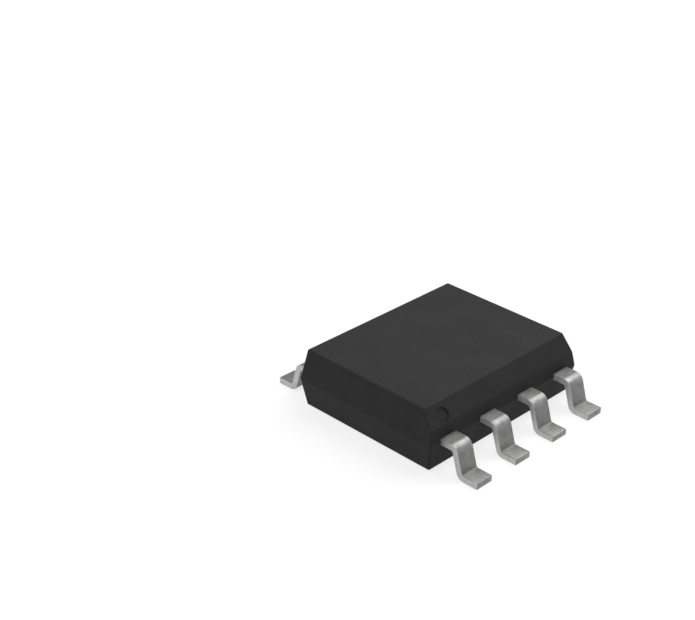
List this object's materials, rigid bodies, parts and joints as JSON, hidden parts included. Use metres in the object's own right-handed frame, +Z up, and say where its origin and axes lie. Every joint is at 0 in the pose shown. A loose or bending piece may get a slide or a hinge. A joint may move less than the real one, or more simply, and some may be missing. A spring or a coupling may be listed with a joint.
{
  "type": "operational amplifier",
  "caption": "Surface-mount operational amplifier: a low moulded body with drafted sides and a bevelled edge with a pin dimple, on gull-wing leads.",
  "frame": {"origin": "on the seating plane under the feet, below the middle of the body", "axes": "+Z up from the board; X along the body, with pin 1 and pin 8 at -X; Y across the leads, with pins 1 to 4 at -Y"},
  "size_m": [0.005, 0.006, 0.0014],
  "materials": {
    "mould_compound": "fine matte, moulded",
    "lead_plating": "satin tin plate",
    "paddle_copper": "bare copper alloy",
    "die_attach_epoxy": "silver-filled epoxy",
    "die_silicon": "polished silicon",
    "bond_gold": "drawn gold wire"
  },
  "bodies": {
    "root": {"body": "mould_compound", "die_paddle": "paddle_copper", "die_attach": "die_attach_epoxy", "die": "die_silicon", "lead_1": "lead_plating", "lead_2": "lead_plating", "lead_3": "lead_plating", "lead_4": "lead_plating", "lead_5": "lead_plating", "lead_6": "lead_plating", "lead_7": "lead_plating", "lead_8": "lead_plating", "bond_wire_1": "bond_gold", "bond_wire_2": "bond_gold", "bond_wire_3": "bond_gold", "bond_wire_4": "bond_gold", "bond_wire_5": "bond_gold", "bond_wire_6": "bond_gold", "bond_wire_7": "bond_gold", "bond_wire_8": "bond_gold"}
  },
  "joints": []
}
